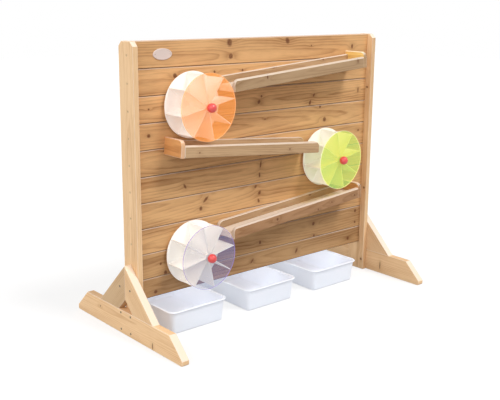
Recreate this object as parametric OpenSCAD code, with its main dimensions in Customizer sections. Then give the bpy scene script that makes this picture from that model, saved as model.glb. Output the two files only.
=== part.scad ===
// Water play board: a planked wooden stand that carries three sloping chutes,
// three paddle wheels on fixed axles, and three loose catch trays below.
// Millimetres. +X runs along the board, -Y is the front, +Z is up, and the
// origin is on the ground in the middle of the stand.

/* [Frame] */
// Width over the outer faces of the two posts
frame_w = 1164; // [1000:1:1400]
// Height of the planks above the end board of the top chute
top_margin = 63; // [40:1:120]
// Gap between the ground and the lowest plank
ground_gap = 120; // [110:1:160]
// Thickness of a post, seen from the front
post_t = 20; // [16:1:32]
// Depth of a post, seen from the side
post_d = 84; // [76:1:110]
// Chamfer on the front and rear corners of a post's top
post_chamfer = 16; // [6:1:24]
// How far the posts stand in front of the planks
post_reveal = 27; // [10:1:40]

/* [Planks] */
// Height of the ripped bottom plank: the others share the rest of the board
bottom_plank_h = 70; // [50:1:90]
// Thickness of a plank
plank_t = 20; // [16:1:24]
// Size of the V groove along the front of each seam
seam_v = 3; // [1:0.5:5]
// Length of the tongue on a plank's top edge
tongue_l = 6; // [4:0.5:8]
// Thickness of the tongue
tongue_t = 5; // [4:0.5:7]
// Width of a rear batten
batten_w = 45; // [30:1:60]
// Thickness of a rear batten
batten_t = 20; // [15:1:30]
// Distance of each rear batten from the middle of the board
batten_x = 150; // [125:1:180]
// How far a rear batten stops short of the board's top and bottom
batten_inset = 15; // [5:1:40]

/* [Feet and braces] */
// Thickness of the foot and brace timber
foot_t = 28; // [20:1:40]
// Height of the foot timber on edge, and width of a brace
foot_h = 86; // [76:1:105]
// Length of a foot
foot_len = 656; // [540:1:800]
// Level run of the sloping cut at each end of a foot
foot_cut = 70; // [40:1:100]
// Height of the upright nose at each end of a foot
foot_nose = 18; // [10:1:30]
// Reach of a brace along the foot, from the middle of the post
brace_reach = 166; // [135:1:210]

/* [Chutes] */
// Depth of a chute over both walls
chute_d = 100; // [84:1:120]
// Height of a chute's front wall
chute_wall_h = 42; // [36:1:50]
// Height of a chute's back wall
chute_back_h = 48; // [36:1:58]
// Thickness of the chute walls and the end board
chute_wall_t = 15; // [10:1:20]
// Thickness of the chute floor
chute_floor_t = 21; // [17:1:26]
// Height of the end board
chute_end_h = 60; // [50:1:72]
// Radius of the rounded wall corner at the low end
chute_low_r = 22; // [10:1:30]
// Radius of the rounded corner of the end board
chute_end_r = 20; // [8:1:30]
// Rise of a chute from its low end to its high end
chute_rise = 54; // [40:1:60]
// Distance of a chute's high end from the post
chute_margin = 111; // [80:1:150]
// Level gap between a wheel's rim and the low end of the chute that feeds it
chute_gap = 3; // [2:0.5:15]
// Height of a chute's low underside above the axle of the wheel that it feeds
chute_lift = 42; // [36:1:52]
// Bevel along the outer top edge of a chute's front wall
chute_bevel = 5; // [2:0.5:8]

/* [Wheels] */
// Diameter of a wheel
wheel_d = 230; // [192:1:276]
// Depth of a wheel over both discs
wheel_depth = 98; // [82:1:117]
// Thickness of a disc
disc_t = 4; // [3:0.5:6]
// Thickness of a paddle
paddle_t = 3; // [2:0.5:5]
// How far a paddle stops short of the rim
paddle_inset = 1; // [0.5:0.5:15]
// Turn of the first paddle from level
paddle_turn = 11.5; // [0:0.5:44]
// Diameter of the hub between the discs
hub_d = 30; // [24:1:36]
// Diameter of the axle
axle_d = 10; // [8:0.5:12]
// Gap between the board and the back of a wheel
wheel_gap = 10; // [8:0.5:20]
// Distance of the top and bottom wheels' axles from the left post
left_wheel_margin = 224; // [180:1:270]
// Distance of the middle wheel's axle from the right post
right_wheel_margin = 247; // [200:1:300]
// Clear height between the tray rims and the bottom wheel
tray_wheel_gap = 55; // [40:1:90]
// Clear height between the bottom chute and the middle wheel
middle_wheel_gap = 19; // [8:1:40]
// Clear height between the middle chute and the top wheel
top_wheel_gap = 7; // [4:1:40]
// Diameter of the ball on the end of an axle
knob_d = 33; // [28:1:40]
// Distance from the ball's middle to its flat back
knob_back = 11; // [6:0.5:13]
// Depth of the axle hole in the ball
knob_hole = 18; // [12:1:20]

/* [Trays] */
// Width of a tray over its rim
tray_w = 255; // [200:1:306]
// Depth of a tray over its rim
tray_len = 340; // [280:1:408]
// Height of a tray
tray_h = 87; // [72:1:104]
// Taper of each tray side, from rim to base
tray_taper = 9; // [4:1:14]
// Wall thickness of a tray
tray_wall = 2.5; // [2:0.1:4]
// Width of the rim around a tray
tray_rim = 7; // [4:0.5:10]
// Height of the rim
tray_rim_h = 5; // [3:0.5:8]
// Corner radius at the base of a tray
tray_corner = 14; // [10:1:30]
// How far a tray's front stands out in front of the planks
tray_out = 104; // [80:1:150]
// How far the row of trays stands left of the middle
tray_shift = 30; // [0:1:35]

/* [Fittings] */
// Shank diameter of a wood screw
screw_d = 4; // [3:0.5:5]
// Head diameter of a wood screw
screw_head_d = 8; // [6:0.5:10]
// Depth of the countersunk head
screw_head_h = 3; // [2:0.5:4]
// How far a screw bites into the second piece
screw_bite = 13; // [8:1:14]
// How far a post screw runs into the end of a plank
post_screw_bite = 40; // [25:1:60]
// Wood left beyond the tip of a chute screw
screw_tip = 3; // [2:0.5:5]
// Place of each chute's lower screw, as a share of its length
chute_screw_low = 0.25; // [0.2:0.01:0.3]
// Place of each chute's upper screw, as a share of its length
chute_screw_high = 0.85; // [0.7:0.01:0.95]
// Distance of the foot screws from the edges of the post
foot_screw_edge = 12; // [8:1:20]
// Height of the lower foot screws
foot_screw_low = 15; // [10:1:25]
// Distance of the upper foot screws from the top of the foot
foot_screw_high = 10; // [8:1:20]
// Distance of the brace screws from the edges of the post
brace_screw_edge = 10; // [8:1:20]
// Depth of a brace screw below the sloping top of the brace
brace_screw_drop = 49; // [30:1:70]
// Thickness of an axle washer
washer_t = 1.5; // [1:0.5:3]
// Diameter of an axle washer
washer_d = 22; // [19:1:26]
// Thickness of the nut that holds an axle to the board
nut_t = 6; // [4:0.5:7]
// Width across the corners of the nuts and bolt heads
nut_d = 19; // [16:0.5:22]
// Width of the oval plate
badge_w = 76; // [60:1:90]
// Height of the oval plate
badge_h = 38; // [30:1:46]
// Thickness of the oval plate
badge_t = 3; // [2:0.5:5]
// Distance from the left post to the middle of the oval plate
badge_margin = 112; // [80:1:200]
// Diameter of the pins that hold the oval plate
pin_d = 2; // [1.5:0.1:3]
// Distance of each pin from the plate's end
pin_inset = 8; // [5:1:12]

/* [Clearances] */
// Radial running clearance of an axle in a hub
run_clear = 0.08; // [0.02:0.01:0.1]
// Radial clearance of a fastener in its hole
hole_clear = 0.05; // [0.02:0.01:0.2]
// Clearance around a tongue in its groove
seam_clear = 0.4; // [0.2:0.1:0.8]
// End play of a wheel on its axle, at each end
end_play = 0.5; // [0.3:0.1:1]

/* [Hidden] */
$fn = 64;
eps = 0.5;
plank_n = 10;
wheel_n = 3;
paddle_n = 8;

// Frame
inner_w = frame_w - 2 * post_t;
board_y = -post_d / 2 + post_reveal;
board_back_y = board_y + plank_t;

// Braces at 45 degrees, sitting on the foot
brace_top = foot_h + brace_reach;
brace_cut = foot_h * sqrt(2);
brace_low = brace_top - brace_cut;
brace_gap = brace_low - foot_h;

// Wheels, from the top one down
wheel_r = wheel_d / 2;
wheel_back_y = board_y - wheel_gap;
wheel_front_y = wheel_back_y - wheel_depth;
axle_r = axle_d / 2;
left_x = -inner_w / 2 + left_wheel_margin;
right_x = inner_w / 2 - right_wheel_margin;
wheel_x = [left_x, right_x, left_x];

// Chutes, from the top one down: 1 rises to the right, -1 rises to the left
chute_dir = [1, -1, 1];
chute_high_x = inner_w / 2 - chute_margin;
chute_low_x = [for (i = [0 : wheel_n - 1]) wheel_x[i] + chute_dir[i] * (wheel_r + chute_gap)];
chute_run = [for (i = [0 : wheel_n - 1]) chute_high_x - chute_dir[i] * chute_low_x[i]];
chute_slope = [for (i = [0 : wheel_n - 1]) atan(chute_rise / chute_run[i])];
chute_len = [for (i = [0 : wheel_n - 1]) chute_run[i] / cos(chute_slope[i])];

// Height of the top of chute i's taller wall above its low underside, at a given x
chute_tall_h = max(chute_wall_h, chute_back_h);
function chute_top_at(i, x) =
    chute_dir[i] * (x - chute_low_x[i]) * tan(chute_slope[i]) + chute_tall_h / cos(chute_slope[i]);

// Axle heights are stacked from the trays upward
bottom_z = tray_h + tray_wheel_gap + wheel_r;
middle_z = bottom_z + chute_lift + chute_top_at(2, right_x) + middle_wheel_gap + wheel_r;
top_z = middle_z + chute_lift + chute_top_at(1, left_x) + top_wheel_gap + wheel_r;
wheel_z = [top_z, middle_z, bottom_z];
chute_low_z = [for (z = wheel_z) z + chute_lift];

// Planks reach a set height above the top chute. Their cover is rounded, so that neighbours meet exactly
cover_step = 0.01;
planks_reach = chute_low_z[0] + chute_rise + chute_end_h * cos(chute_slope[0]) + top_margin;
planks_h = planks_reach - ground_gap - bottom_plank_h;
plank_cover = round(planks_h / (plank_n - 1) / cover_step) * cover_step;
board_top = ground_gap + bottom_plank_h + (plank_n - 1) * plank_cover;
board_h = board_top - ground_gap;

// Axle stack in front of the wheel
front_washer_y = wheel_front_y - end_play - washer_t;
knob_y = front_washer_y - knob_back;
axle_tip_y = front_washer_y - knob_hole + end_play;
rear_washer_t = wheel_gap - nut_t - end_play;
bolt_head_y = board_back_y + washer_t;

// Trays
tray_gap = (inner_w - 3 * tray_w) / 4;
tray_x = [for (i = [-1 : 1]) i * (tray_w + tray_gap) - tray_shift];
tray_y = board_y - tray_out + tray_len / 2;

// Screws
post_screw_l = post_t + post_screw_bite;
foot_screw_l = foot_t + screw_bite;
batten_screw_l = batten_t + screw_bite;
chute_screw_l = plank_t + chute_wall_t - screw_tip;
chute_screw_at = [chute_screw_low, chute_screw_high];
foot_screw_y = post_d / 2 - foot_screw_edge;
foot_screw_z = [foot_screw_low, foot_h - foot_screw_high];
brace_screw_y = post_d / 2 - brace_screw_edge;
brace_screw_z = brace_top - brace_screw_y - brace_screw_drop;

// Oval plate, on the top plank
badge_x = -inner_w / 2 + badge_margin;
badge_z = board_top - plank_cover / 2;
pin_x = badge_w / 2 - pin_inset;
pin_l = badge_t + plank_t / 2;

wood = "BurlyWood";
plank_wood = "Peru";
chute_wood = "Tan";
steel = "Silver";
white = "White";

// Shared shapes

// Turns a shape drawn along +Z so that it runs along +Y
module along_y() {
    rotate([-90, 0, 0]) children();
}

// Extrudes a side view, drawn as (y, z), along +X
module side_view(thickness) {
    rotate([90, 0, 90]) linear_extrude(thickness) children();
}

// Countersunk screw with its head at the origin, running along +Z
module screw(length) {
    slot_w = screw_head_d / 8;
    slot_l = screw_head_d * 0.55;
    difference() {
        union() {
            cylinder(h = screw_head_h, d1 = screw_head_d, d2 = screw_d);
            cylinder(h = length, d = screw_d);
        }
        for (turn = [0, 90])
            rotate(turn) cube([slot_l, slot_w, screw_head_h], center = true);
    }
}

// Hole for that screw, clear of it all round and at its tip
module screw_hole(length) {
    grow = 2 * hole_clear;
    translate([0, 0, -eps]) cylinder(h = eps + hole_clear, d = screw_head_d + grow);
    cylinder(h = screw_head_h, d1 = screw_head_d + grow, d2 = screw_d + grow);
    cylinder(h = length + eps, d = screw_d + grow);
}

// Screw patterns: each places its children, with +Z along the screw

module at_post_screws() {
    for (side = [-1, 1], k = [1 : plank_n])
        translate([side * frame_w / 2, board_y + plank_t / 2, plank_mid_z(k)])
            rotate([0, -90 * side, 0]) children();
}

module at_foot_screws() {
    for (side = [-1, 1], y = [-foot_screw_y, foot_screw_y]) {
        for (z = foot_screw_z)
            translate([side * (frame_w / 2 + foot_t), y, z]) rotate([0, -90 * side, 0]) children();
        translate([side * (frame_w / 2 + foot_t), sign(y) * brace_screw_y, brace_screw_z])
            rotate([0, -90 * side, 0]) children();
    }
}

module at_batten_screws() {
    for (side = [-1, 1], k = [1 : plank_n])
        translate([side * batten_x, board_back_y + batten_t, plank_mid_z(k)])
            rotate([90, 0, 0]) children();
}

module at_chute_screws() {
    for (i = [0 : wheel_n - 1])
        in_chute(i)
            for (share = chute_screw_at)
                translate([share * chute_len[i], board_back_y, chute_wall_h / 2])
                    rotate([90, 0, 0]) children();
}

module at_plate_pins() {
    for (side = [-1, 1])
        translate([badge_x + side * pin_x, board_y - badge_t, badge_z])
            along_y() children();
}

// Planks, counted from the top

function plank_h(k) = k == plank_n ? bottom_plank_h : plank_cover;
function plank_z(k) = k == plank_n ? ground_gap : board_top - k * plank_cover;
function plank_mid_z(k) = plank_z(k) + plank_h(k) / 2;

// Side view of a plank: V grooves in front, a tongue on top and a groove below
module plank_outline(k) {
    h = plank_h(k);
    mid = plank_t / 2;
    groove_w = tongue_t + 2 * seam_clear;
    has_tongue = k > 1;
    has_groove = k < plank_n;
    difference() {
        union() {
            polygon([
                [seam_v, 0], [plank_t, 0], [plank_t, h],
                [seam_v, h], [0, h - seam_v], [0, seam_v]
            ]);
            if (has_tongue)
                translate([mid - tongue_t / 2, h - eps]) square([tongue_t, tongue_l + eps]);
        }
        if (has_groove)
            translate([mid - groove_w / 2, -eps]) square([groove_w, tongue_l + seam_clear + eps]);
    }
}

module plank(k) {
    color(plank_wood) difference() {
        translate([-inner_w / 2, board_y, plank_z(k)]) side_view(inner_w) plank_outline(k);
        for (i = [0 : wheel_n - 1])
            if (near_plank(k, wheel_z[i], axle_r))
                translate([wheel_x[i], board_y - eps, wheel_z[i]])
                    along_y() cylinder(h = plank_t + 2 * eps, r = axle_r + hole_clear);
        for (side = [-1, 1]) {
            translate([side * frame_w / 2, board_y + plank_t / 2, plank_mid_z(k)])
                rotate([0, -90 * side, 0]) screw_hole(post_screw_l);
            translate([side * batten_x, board_back_y + batten_t, plank_mid_z(k)])
                rotate([90, 0, 0]) screw_hole(batten_screw_l);
        }
        for (i = [0 : wheel_n - 1], share = chute_screw_at)
            if (near_plank(k, chute_screw_z(i, share), screw_head_d))
                in_chute(i)
                    translate([share * chute_len[i], board_back_y, chute_wall_h / 2])
                        rotate([90, 0, 0]) screw_hole(chute_screw_l);
        if (near_plank(k, badge_z, pin_d))
            at_plate_pins() cylinder(h = pin_l + eps, d = pin_d + 2 * hole_clear);
    }
}

function near_plank(k, z, r) = z + r > plank_z(k) && z - r < plank_z(k) + plank_h(k) + tongue_l;
function chute_screw_z(i, share) =
    chute_low_z[i] + share * chute_rise + chute_wall_h / 2 * cos(chute_slope[i]);

module batten(side) {
    color(wood) difference() {
        translate([side * batten_x - batten_w / 2, board_back_y, ground_gap + batten_inset])
            cube([batten_w, batten_t, board_h - 2 * batten_inset]);
        at_batten_screws() screw_hole(batten_screw_l);
    }
}

// Posts, feet and braces: side is -1 on the left and 1 on the right

// Moves a shape drawn on the inner side of x = 0 to a post's outer face
module at_post(side) {
    translate([side * frame_w / 2, 0, 0]) children();
}

module post(side) {
    half = post_d / 2;
    c = post_chamfer;
    color(wood) difference() {
        at_post(side) translate([side > 0 ? -post_t : 0, 0, 0])
            side_view(post_t) polygon([
                [-half, 0], [half, 0], [half, board_top - c], [half - c, board_top],
                [-half + c, board_top], [-half, board_top - c]
            ]);
        at_post_screws() screw_hole(post_screw_l);
        at_foot_screws() screw_hole(foot_screw_l);
    }
}

module foot_side_view(side) {
    at_post(side) translate([side > 0 ? 0 : -foot_t, 0, 0]) side_view(foot_t) children();
}

module foot(side) {
    half = foot_len / 2;
    color(wood) difference() {
        foot_side_view(side) polygon([
            [-half, 0], [half, 0], [half, foot_nose], [half - foot_cut, foot_h],
            [-half + foot_cut, foot_h], [-half, foot_nose]
        ]);
        at_foot_screws() screw_hole(foot_screw_l);
    }
}

// A brace leans on the post: toward is -1 at the front and 1 at the rear
module brace(side, toward) {
    color(wood) difference() {
        foot_side_view(side) polygon([
            [0, brace_low], [0, brace_top], [toward * brace_reach, foot_h], [toward * brace_gap, foot_h]
        ]);
        at_foot_screws() screw_hole(foot_screw_l);
    }
}

// Chutes: drawn with x from the low end to the high end and z from the underside

module in_chute(i) {
    translate([chute_low_x[i], 0, chute_low_z[i]])
        mirror([chute_dir[i] < 0 ? 1 : 0, 0, 0])
            rotate([0, -chute_slope[i], 0]) children();
}

// Quarter of a rounded corner, to be cut off: its sharp corner is at the origin
module corner_cut(r, depth) {
    difference() {
        translate([-eps, -eps, -eps]) cube([r + eps, depth + 2 * eps, r + 2 * eps]);
        translate([r, -2 * eps, 0]) along_y() cylinder(h = depth + 4 * eps, r = r);
    }
}

module chute_wall(i, h) {
    r = chute_low_r;
    difference() {
        cube([chute_len[i] - chute_wall_t, chute_wall_t, h]);
        translate([0, 0, h - r]) corner_cut(r, chute_wall_t);
    }
}

module chute_back(i) {
    color(chute_wood) difference() {
        in_chute(i) translate([0, board_y - chute_wall_t, 0]) chute_wall(i, chute_back_h);
        at_chute_screws() screw_hole(chute_screw_l);
    }
}

module chute_front(i) {
    color(chute_wood) in_chute(i) translate([0, board_y - chute_d, 0]) difference() {
        chute_wall(i, chute_wall_h);
        translate([-eps, 0, chute_wall_h]) side_view(chute_len[i] + 2 * eps)
            polygon([[-eps, -chute_bevel - eps], [chute_bevel + eps, eps], [-eps, eps]]);
    }
}

module chute_floor(i) {
    color(chute_wood) in_chute(i)
        translate([0, board_y - chute_d + chute_wall_t, 0])
            cube([chute_len[i] - chute_wall_t, chute_d - 2 * chute_wall_t, chute_floor_t]);
}

module chute_end(i) {
    r = chute_end_r;
    color(chute_wood) in_chute(i)
        translate([chute_len[i] - chute_wall_t, board_y - chute_d, 0]) difference() {
            cube([chute_wall_t, chute_d, chute_end_h]);
            translate([chute_wall_t, 0, chute_end_h - r]) rotate([0, 0, 90]) corner_cut(r, chute_wall_t);
        }
}

// Axles and what is fixed on them

module at_axles() {
    for (i = [0 : wheel_n - 1])
        translate([wheel_x[i], 0, wheel_z[i]]) children();
}

module ring_y(y, length, outer_d, inner_r, sides = 64) {
    translate([0, y, 0]) along_y() difference() {
        cylinder(h = length, d = outer_d, $fn = sides);
        translate([0, 0, -eps]) cylinder(h = length + 2 * eps, r = inner_r);
    }
}

module axle_bolts() {
    color(steel) at_axles() {
        translate([0, axle_tip_y, 0]) along_y() cylinder(h = bolt_head_y - axle_tip_y + eps, r = axle_r);
        translate([0, bolt_head_y, 0]) along_y() cylinder(h = nut_t, d = nut_d, $fn = 6);
    }
}

module axle_washers() {
    color(steel) at_axles() {
        ring_y(board_back_y, washer_t, washer_d, axle_r + hole_clear);
        ring_y(board_y - nut_t - rear_washer_t, rear_washer_t, washer_d, axle_r + hole_clear);
        ring_y(front_washer_y, washer_t, washer_d, axle_r + hole_clear);
    }
}

module axle_nuts() {
    color(steel) at_axles()
        ring_y(board_y - nut_t, nut_t, nut_d, axle_r + hole_clear, 6);
}

module axle_knobs() {
    color("Crimson") at_axles() difference() {
        translate([0, knob_y, 0]) along_y() sphere(d = knob_d);
        translate([-knob_d, front_washer_y, -knob_d]) cube([2 * knob_d, knob_d, 2 * knob_d]);
        translate([0, front_washer_y - knob_hole, 0])
            along_y() cylinder(h = knob_hole + eps, r = axle_r + hole_clear);
    }
}

// Wheels: they turn about their axles, along Y

module at_wheel(i) {
    translate([wheel_x[i], 0, wheel_z[i]]) children();
}

module wheel_back(i) {
    color(white) at_wheel(i)
        ring_y(wheel_back_y - disc_t, disc_t, wheel_d, axle_r + run_clear);
}

module wheel_window(i, tint) {
    color(tint, 0.6) at_wheel(i)
        ring_y(wheel_front_y, disc_t, wheel_d, axle_r + run_clear);
}

module wheel_hub(i) {
    color(white) at_wheel(i)
        ring_y(wheel_front_y + disc_t, wheel_depth - 2 * disc_t, hub_d, axle_r + run_clear);
}

module wheel_paddles(i) {
    inner = hub_d / 2 + hole_clear;
    color(white) at_wheel(i)
        for (k = [0 : paddle_n - 1])
            rotate([0, -paddle_turn - k * 360 / paddle_n, 0])
                translate([inner, wheel_front_y + disc_t, -paddle_t / 2])
                    cube([wheel_r - paddle_inset - inner, wheel_depth - 2 * disc_t, paddle_t]);
}

// Trays: tapered tubs with rounded corners, on the ground

module rounded_tub(w, len, h, corner, taper) {
    x = w / 2 - taper - corner;
    y = len / 2 - taper - corner;
    hull()
        for (sx = [-1, 1], sy = [-1, 1])
            translate([sx * x, sy * y, 0]) cylinder(h = h, r1 = corner, r2 = corner + taper, $fn = 32);
}

module tray(i) {
    w = tray_w - 2 * tray_rim;
    len = tray_len - 2 * tray_rim;
    top_r = tray_corner + tray_taper;
    inset = 2 * tray_wall;
    color("WhiteSmoke") translate([tray_x[i], tray_y, 0]) difference() {
        union() {
            rounded_tub(w, len, tray_h, tray_corner, tray_taper);
            translate([0, 0, tray_h - tray_rim_h])
                rounded_tub(tray_w, tray_len, tray_rim_h, top_r + tray_rim, 0);
        }
        translate([0, 0, tray_wall])
            rounded_tub(w - inset, len - inset, tray_h, tray_corner - tray_wall, tray_taper);
    }
}

// Fasteners and the oval plate

module post_screws() {
    color(steel) at_post_screws() screw(post_screw_l);
}

module foot_screws() {
    color(steel) at_foot_screws() screw(foot_screw_l);
}

module batten_screws() {
    color(steel) at_batten_screws() screw(batten_screw_l);
}

module chute_screws() {
    color(steel) at_chute_screws() screw(chute_screw_l);
}

module oval_plate() {
    color("Linen") difference() {
        translate([badge_x, board_y - badge_t, badge_z])
            along_y() linear_extrude(badge_t) resize([badge_w, badge_h]) circle(d = badge_h);
        at_plate_pins() translate([0, 0, -eps])
            cylinder(h = badge_t + 2 * eps, d = pin_d + 2 * hole_clear);
    }
}

module plate_pins() {
    color(steel) at_plate_pins() cylinder(h = pin_l, d = pin_d);
}

post(-1);  // left_post
post(1);  // right_post
plank(1);  // plank_01
plank(2);  // plank_02
plank(3);  // plank_03
plank(4);  // plank_04
plank(5);  // plank_05
plank(6);  // plank_06
plank(7);  // plank_07
plank(8);  // plank_08
plank(9);  // plank_09
plank(10);  // plank_10
batten(-1);  // left_batten
batten(1);  // right_batten
foot(-1);  // left_foot
foot(1);  // right_foot
brace(-1, -1);  // left_front_brace
brace(-1, 1);  // left_rear_brace
brace(1, -1);  // right_front_brace
brace(1, 1);  // right_rear_brace
chute_back(0);  // top_chute_back
chute_front(0);  // top_chute_front
chute_floor(0);  // top_chute_floor
chute_end(0);  // top_chute_end
chute_back(1);  // middle_chute_back
chute_front(1);  // middle_chute_front
chute_floor(1);  // middle_chute_floor
chute_end(1);  // middle_chute_end
chute_back(2);  // bottom_chute_back
chute_front(2);  // bottom_chute_front
chute_floor(2);  // bottom_chute_floor
chute_end(2);  // bottom_chute_end
axle_bolts();
axle_washers();
axle_nuts();
axle_knobs();
wheel_back(0);  // top_wheel_back
wheel_paddles(0);  // top_wheel_paddles
wheel_hub(0);  // top_wheel_hub
wheel_window(0, "Orange");  // top_wheel_window
wheel_back(1);  // middle_wheel_back
wheel_paddles(1);  // middle_wheel_paddles
wheel_hub(1);  // middle_wheel_hub
wheel_window(1, "YellowGreen");  // middle_wheel_window
wheel_back(2);  // bottom_wheel_back
wheel_paddles(2);  // bottom_wheel_paddles
wheel_hub(2);  // bottom_wheel_hub
wheel_window(2, "Plum");  // bottom_wheel_window
tray(0);  // left_tray
tray(1);  // middle_tray
tray(2);  // right_tray
post_screws();
foot_screws();
batten_screws();
chute_screws();
oval_plate();
plate_pins();
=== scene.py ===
"""Gives a water play board its looks: eased timber with grain, knots and sunk screws,
paddle wheels behind tinted discs, moulded trays, and a plain pale stage."""

import math
import random

import bmesh
import bpy
from mathutils import Matrix, Vector


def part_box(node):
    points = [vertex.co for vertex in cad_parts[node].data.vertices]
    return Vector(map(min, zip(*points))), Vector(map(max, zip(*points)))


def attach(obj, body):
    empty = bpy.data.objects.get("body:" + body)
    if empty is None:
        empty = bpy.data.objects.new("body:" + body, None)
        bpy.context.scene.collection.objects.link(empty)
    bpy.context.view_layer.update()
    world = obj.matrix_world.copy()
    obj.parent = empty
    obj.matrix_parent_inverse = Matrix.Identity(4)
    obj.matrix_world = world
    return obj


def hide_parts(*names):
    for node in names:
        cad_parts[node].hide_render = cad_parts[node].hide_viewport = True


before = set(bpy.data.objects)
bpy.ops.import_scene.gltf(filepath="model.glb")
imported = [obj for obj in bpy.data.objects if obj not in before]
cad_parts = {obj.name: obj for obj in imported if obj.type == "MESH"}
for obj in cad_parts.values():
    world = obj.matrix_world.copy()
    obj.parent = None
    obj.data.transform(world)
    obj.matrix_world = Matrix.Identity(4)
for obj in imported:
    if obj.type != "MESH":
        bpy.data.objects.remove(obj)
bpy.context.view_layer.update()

bl_info = {
    "name": "Water Play Board",
    "version": (1, 0, 0),
    "blender": (4, 5, 0),
    "location": "View3D > Sidebar > Water Board",
    "description": "Builds the timber, wheels, trays and stage of a water play board",
    "category": "Object",
}

MM = 0.001
X, Y, Z = Vector((1, 0, 0)), Vector((0, 1, 0)), Vector((0, 0, 1))
WHEELS = ("top", "middle", "bottom")
TRAYS = ("left", "middle", "right")
SIDES = ("left", "right")
PADDLES = 8

# Edges that bend more than this many degrees are shaded sharp: on boards and discs, on the
# oval plate, and on knobs and trays
CREASE, PLATE_CREASE, SOFT_CREASE = 15.0, 25.0, 40.0
# Sides of a disc, of a hub or knob, of the oval plate and of a hole for a screw
DISC_SIDES, HUB_SIDES, PLATE_SIDES, HOLE_SIDES = 128, 64, 96, 24
# Steps round a knob from its back to its tip, and the angle of the small flat there
KNOB_STEPS, KNOB_TIP = 28, 0.02
# Steps round the rolled rim of a tray
BEAD_STEPS = 8
# Rings that keep the sides of a tray flat: over the base and the floor inside, in radii of
# their roundings, and below the rim
BASE_KEEP, FLOOR_KEEP, RIM_KEEP = 1.6, 1.8, 3 * MM
# Points closer than this to a plane lie in it
NEAR = 0.1 * MM
# How far from its board's box the middle of a screw's head may lie
HEAD_GAP = 0.5 * MM
# A hole for a screw: room round the screw, start over the face, depth of its full width, room
# below the head, and how many times as deep as the head it is
HOLE_ROOM, HOLE_START, HOLE_RIM, HOLE_UNDER, HOLE_DEPTH = 0.35 * MM, 2 * MM, 0.15 * MM, 0.4 * MM, 3
# A face looks a certain way when the cosine between the two is above this
FACING = 0.6

# Knots on the planks, in millimetres: place along the board, height, half width, how many
# times as long as wide, and lean from upright in degrees
PLANK_KNOTS = (
    (-164, 985, 10, 1.2, 0), (-158, 937, 8, 1.1, 0), (115, 984, 8, 1.3, -30), (241, 962, 3, 1, 0),
    (471, 953, 5, 1.6, 0),
    (-400, 881, 7, 1.1, 0), (-231, 886, 4, 1, 0), (-103, 886, 4, 1, 0),
    (-508, 777, 3.5, 0.8, 0), (-23, 766, 6, 1.3, 40), (-11, 786, 4, 1, 0),
    (242, 744, 5, 1.8, 25), (262, 772, 3.5, 2, 30), (517, 775, 3, 3.5, 0),
    (-510, 689, 6, 1, 0), (8, 700, 3, 1, 0), (298, 724, 5, 1, 0), (325, 671, 8, 1, 0),
    (-449, 631, 3, 1, 0), (528, 608, 4, 1, 0), (-11, 575, 3.5, 3, 12),
    (-11, 530, 3.5, 4, 10), (-16, 490, 3.5, 2.6, 0), (-363, 496, 4, 2.2, -30),
    (-272, 435, 4.5, 3, 50), (-294, 405, 6, 1.1, 0), (-35, 448, 4.5, 1.5, 40),
    (-15, 422, 6, 1.3, 50), (-19, 391, 4.5, 1.8, -20),
    (-159, 349, 3.5, 1, 0), (410, 330, 4, 1.2, 0),
    (-9, 224, 5, 1.3, 0), (-451, 199, 6, 1.2, 0), (-471, 235, 4, 1, 0), (280, 248, 6, 1.2, 30),
    (285, 197, 5, 1, 0), (530, 262, 6, 1.1, 0), (530, 212, 5, 1, 0),
    (-49, 157, 3.5, 3, 40), (-494, 137, 6, 1, 0), (187, 152, 4.5, 2.2, 30), (490, 147, 6, 1.2, 0),
)

# How light each plank is, from the top one down
PLANK_TONES = (0.98, 1.0, 1.05, 0.96, 0.94, 0.97, 0.92, 0.91, 0.73, 0.63)

# Knots on the other boards, in the same way: the first number runs along X on a board that
# faces the front, and along Y on one that faces the side
BOARD_KNOTS = {
    "left_foot": ((-162, 14, 2.5, 4, 0), (168, 58, 3, 1, 0)),
    "right_foot": ((50, 51, 4, 1, 0), (-122, 34, 2.5, 6, 0)),
    "right_post": ((-31, 361, 4, 1, 0), (-31, 44, 4.5, 1, 0), (-24, 785, 3, 2, 0)),
    "top_chute_front": ((-72, 868, 2.5, 3, 0), (398, 905, 2.5, 3.5, 0)),
    "top_chute_back": ((35, 890, 3, 1, 0), (293, 908, 3, 1, 0)),
    "middle_chute_front": ((-373, 631, 2.5, 1, 0), (44, 597, 2.5, 1.5, 0)),
    "bottom_chute_front": ((-12, 338, 4, 1.2, 0), (203, 341, 3.5, 1, 0), (279, 359, 3, 1, 0),
                           (410, 367, 3.5, 1, 0)),
    "bottom_chute_back": ((241, 377, 3, 1, 0),),
}

# Boards that are lighter or darker than their fellows
BOARD_TONES = {"left_rear_brace": 0.76, "right_post": 1.06, "bottom_chute_front": 0.86,
               "top_chute_front": 0.95, "left_foot": 1.04}

# Boards that are yellower or redder: shares of red, green and blue. The top chute's end is
# yellower as painted yellow light on its lit inner face; the bottom chute's front is redder
BOARD_TINTS_AND_PAINTED_LIGHT = {"top_chute_end": (1.25, 1.6, 1.4), "bottom_chute_front": (1.0, 0.84, 0.75)}

# Growth rings of the planks, the frame and the chutes, in metres: how far the pith may lie from
# the middle across a board, and between which distances in depth, from the rear of a plank or
# the middle of another board; then how much it may lean along the board
PLANK_ACROSS, PLANK_DEPTH, PLANK_LEAN = 0.03, (0, 0.025), (0.01, 0.035)
FRAME_ACROSS, FRAME_DEPTH, FRAME_LEAN = 0.03, (0.04, 0.06), 0.015
CHUTE_ACROSS, CHUTE_DEPTH, CHUTE_LEAN = 0.02, (0.02, 0.05), 0.03
# How much lighter or darker a board of the frame or the chutes may be by chance
CHANCE_TONE = (0.95, 1.05)

# Noise in sawn pine: how often it repeats in a metre along the grain and across it, and its
# detail. In order: drift of the pith, ripple of the rings, fibre, patches of tone, flecks.
PINE_NOISE = ((1.3, 4, 1), (7, 55, 2), (26, 700, 2), (3, 22, 3), (110, 140, 2))
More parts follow.
